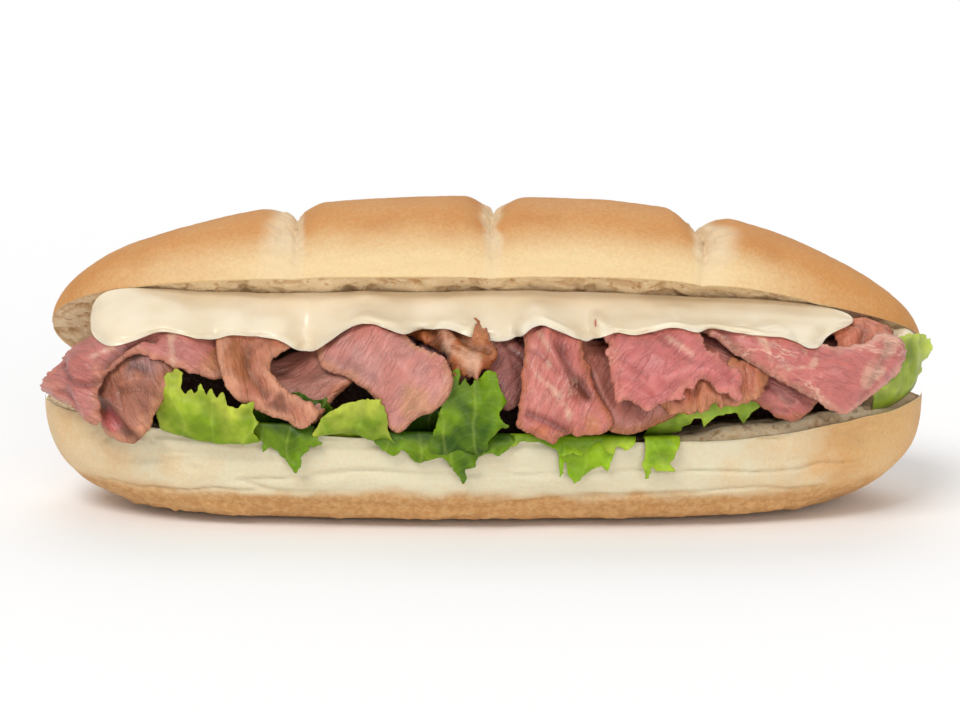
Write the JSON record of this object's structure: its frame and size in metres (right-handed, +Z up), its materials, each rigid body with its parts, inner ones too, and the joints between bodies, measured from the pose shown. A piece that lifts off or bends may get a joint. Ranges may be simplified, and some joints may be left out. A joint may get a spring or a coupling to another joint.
{
  "type": "roast beef roll",
  "caption": "Soft long roll slit along its front and hinged along its back crust, filled with folded roast beef slices, frilly lettuce and a thick bead of mayonnaise.",
  "frame": {"origin": "on the resting plane, under the middle of the roll", "axes": "+X runs along the roll, the open side with the filling faces -Y, the hinge is at +Y, +Z is up"},
  "size_m": [0.201, 0.0804, 0.0695],
  "materials": {
    "crust": "soft golden bread crust, paler low on the sides",
    "mayonnaise": "glossy cream",
    "beef": "moist pink cooked beef with brown rims",
    "lettuce": "fresh green leaf"
  },
  "bodies": {
    "root": {"roll": "crust", "mayonnaise": "mayonnaise", "beef_inner": "beef", "beef_01": "beef", "beef_02": "beef", "beef_03": "beef", "beef_04": "beef", "beef_05": "beef", "beef_06": "beef", "beef_07": "beef", "beef_08": "beef", "beef_09": "beef", "beef_10": "beef", "beef_11": "beef", "beef_12": "beef", "beef_13": "beef", "beef_14": "beef", "beef_15": "beef", "beef_16": "beef", "beef_17": "beef", "beef_18": "beef", "beef_19": "beef", "lettuce_1": "lettuce", "lettuce_2": "lettuce", "lettuce_3": "lettuce", "lettuce_4": "lettuce", "lettuce_5": "lettuce", "lettuce_6": "lettuce"}
  },
  "joints": []
}
